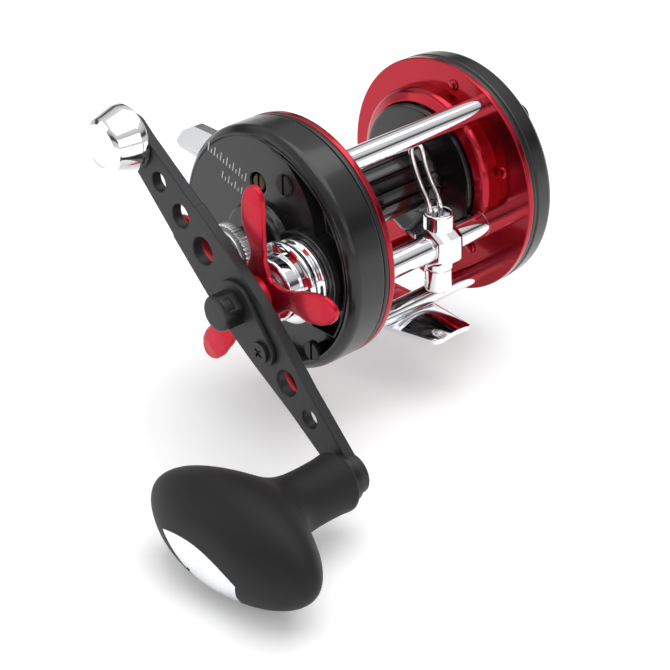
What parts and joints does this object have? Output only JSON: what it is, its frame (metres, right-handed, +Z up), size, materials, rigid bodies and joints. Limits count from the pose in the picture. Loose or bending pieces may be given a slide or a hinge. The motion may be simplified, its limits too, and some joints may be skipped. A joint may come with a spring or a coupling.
{
  "type": "baitcasting reel",
  "caption": "Round-framed baitcasting reel with level-wind line guide, star drag, free-spool lever and a counterweighted power handle.",
  "frame": {"origin": "middle of the foot's flat underside, where it rests on the rod's seat", "axes": "+X along the spool towards the handle, +Y forward along the rod over the line guide, +Z up away from the rod"},
  "size_m": [0.1311, 0.1101, 0.0792],
  "materials": {
    "red_anodised": "glossy anodised",
    "red_satin": "satin anodised",
    "chrome": "polished",
    "steel": "plain turned",
    "nylon": "moulded",
    "brass": "machined",
    "black_satin": "satin black",
    "black_trim": "matt",
    "black_steel": "satin black",
    "spool_black": "glossy black anodised",
    "aluminium": "turned",
    "fibre": "matt",
    "black_arm": "matt charcoal anodised",
    "soft_black": "soft matt",
    "badge_silver": "polished"
  },
  "bodies": {
    "frame": {"handle_side_plate": "red_anodised", "palm_side_plate": "red_anodised", "top_front_pillar": "chrome", "lower_front_pillar": "chrome", "lower_rear_pillar": "chrome", "reel_foot": "chrome", "foot_rivets": "steel", "frame_screws": "steel", "level_wind_tube": "chrome", "worm_bushes": "nylon", "handle_side_cover": "black_satin", "palm_side_cover": "black_satin", "handle_side_trim_ring": "black_trim", "palm_side_trim_ring": "black_trim", "cover_thumb_screw": "black_steel", "cover_lower_screw": "black_steel", "oil_port_screw": "brass", "palm_cover_screws": "black_steel", "spool_bearings": "steel", "brake_ring": "aluminium", "gear_bridge": "steel", "bridge_screws": "steel", "anti_reverse_bearing": "steel", "bearing_sleeve": "chrome", "tension_shims": "brass", "yoke_guide_pins": "steel"},
    "drive": {"drive_shaft": "steel", "main_gear": "brass", "drag_washers": "fibre", "drag_pressure_sleeve": "steel", "level_wind_drive_cog": "nylon", "star_spring_washers": "steel", "handle_arm": "black_arm", "nut_lock_plate": "black_arm", "handle_nut": "black_steel", "nut_lock_screw": "black_steel", "counterweight": "chrome", "counterweight_screw": "chrome", "knob_spindle": "black_steel"},
    "star": {"star_drag": "red_satin"},
    "knob": {"handle_knob": "soft_black", "knob_badge": "badge_silver", "knob_bushes": "nylon"},
    "spool": {"spool": "spool_black", "spool_shaft": "steel", "brake_carrier": "nylon"},
    "brake_front": {"brake_block_front": "nylon"},
    "brake_rear": {"brake_block_rear": "nylon"},
    "clutch": {"clutch_yoke": "nylon"},
    "pinion": {"pinion": "brass"},
    "lever": {"free_spool_lever": "chrome"},
    "worm": {"worm_shaft": "steel", "worm_cog": "nylon"},
    "line_guide": {"line_guide_carriage": "chrome", "line_guide_wire": "chrome", "pawl_cap": "chrome"},
    "pawl": {"line_guide_pawl": "brass"},
    "tension": {"tension_cap": "black_steel"}
  },
  "joints": [
    {"name": "handle_turn", "type": "hinge", "parent": "frame", "child": "drive", "pos_m": [0, 0.014, 0.0264], "axis": [1, 0, 0], "continuous": true},
    {"name": "knob_spin", "type": "hinge", "parent": "drive", "child": "knob", "pos_m": [0, 0.04895, -0.00241], "axis": [1, 0, 0], "continuous": true},
    {"name": "star_turn", "type": "hinge", "parent": "drive", "child": "star", "pos_m": [0, 0.014, 0.0264], "axis": [1, 0, 0], "range_deg": [-180, 180]},
    {"name": "spool_spin", "type": "hinge", "parent": "frame", "child": "spool", "pos_m": [0, -0.0012, 0.0293], "axis": [1, 0, 0], "continuous": true},
    {"name": "brake_front_slide", "type": "slide", "parent": "spool", "child": "brake_front", "axis": [0, 1, 0], "range_m": [0, 0.0016]},
    {"name": "brake_rear_slide", "type": "slide", "parent": "spool", "child": "brake_rear", "axis": [0, -1, 0], "range_m": [0, 0.0016]},
    {"name": "lever_press", "type": "slide", "parent": "frame", "child": "lever", "axis": [0, 0, -1], "range_m": [0, 0.003], "stiffness_N_per_m": 150, "springref_m": -0.002},
    {"name": "clutch_slide", "type": "slide", "parent": "frame", "child": "clutch", "axis": [1, 0, 0], "range_m": [0, 0.002]},
    {"name": "pinion_spin", "type": "hinge", "parent": "clutch", "child": "pinion", "pos_m": [0, -0.0012, 0.0293], "axis": [1, 0, 0], "continuous": true},
    {"name": "worm_spin", "type": "hinge", "parent": "frame", "child": "worm", "pos_m": [0, 0.0193, 0.0224], "axis": [1, 0, 0], "continuous": true},
    {"name": "line_guide_travel", "type": "slide", "parent": "frame", "child": "line_guide", "axis": [1, 0, 0], "range_m": [-0.0085, 0.0135]},
    {"name": "pawl_swivel", "type": "hinge", "parent": "line_guide", "child": "pawl", "pos_m": [-0.0025, 0.0193, 0.0224], "axis": [0, 0, 1], "range_deg": [-30, 30]},
    {"name": "tension_cap_turn", "type": "hinge", "parent": "frame", "child": "tension", "pos_m": [0, -0.0012, 0.0293], "axis": [1, 0, 0], "range_deg": [-180, 180]}
  ],
  "couplings": [
    {"joint": "spool_spin", "follows": "handle_turn", "ratio": -6.3},
    {"joint": "pinion_spin", "follows": "handle_turn", "ratio": -6.3},
    {"joint": "worm_spin", "follows": "handle_turn", "ratio": -1.2},
    {"joint": "clutch_slide", "follows": "lever_press", "ratio": 0.66667}
  ]
}
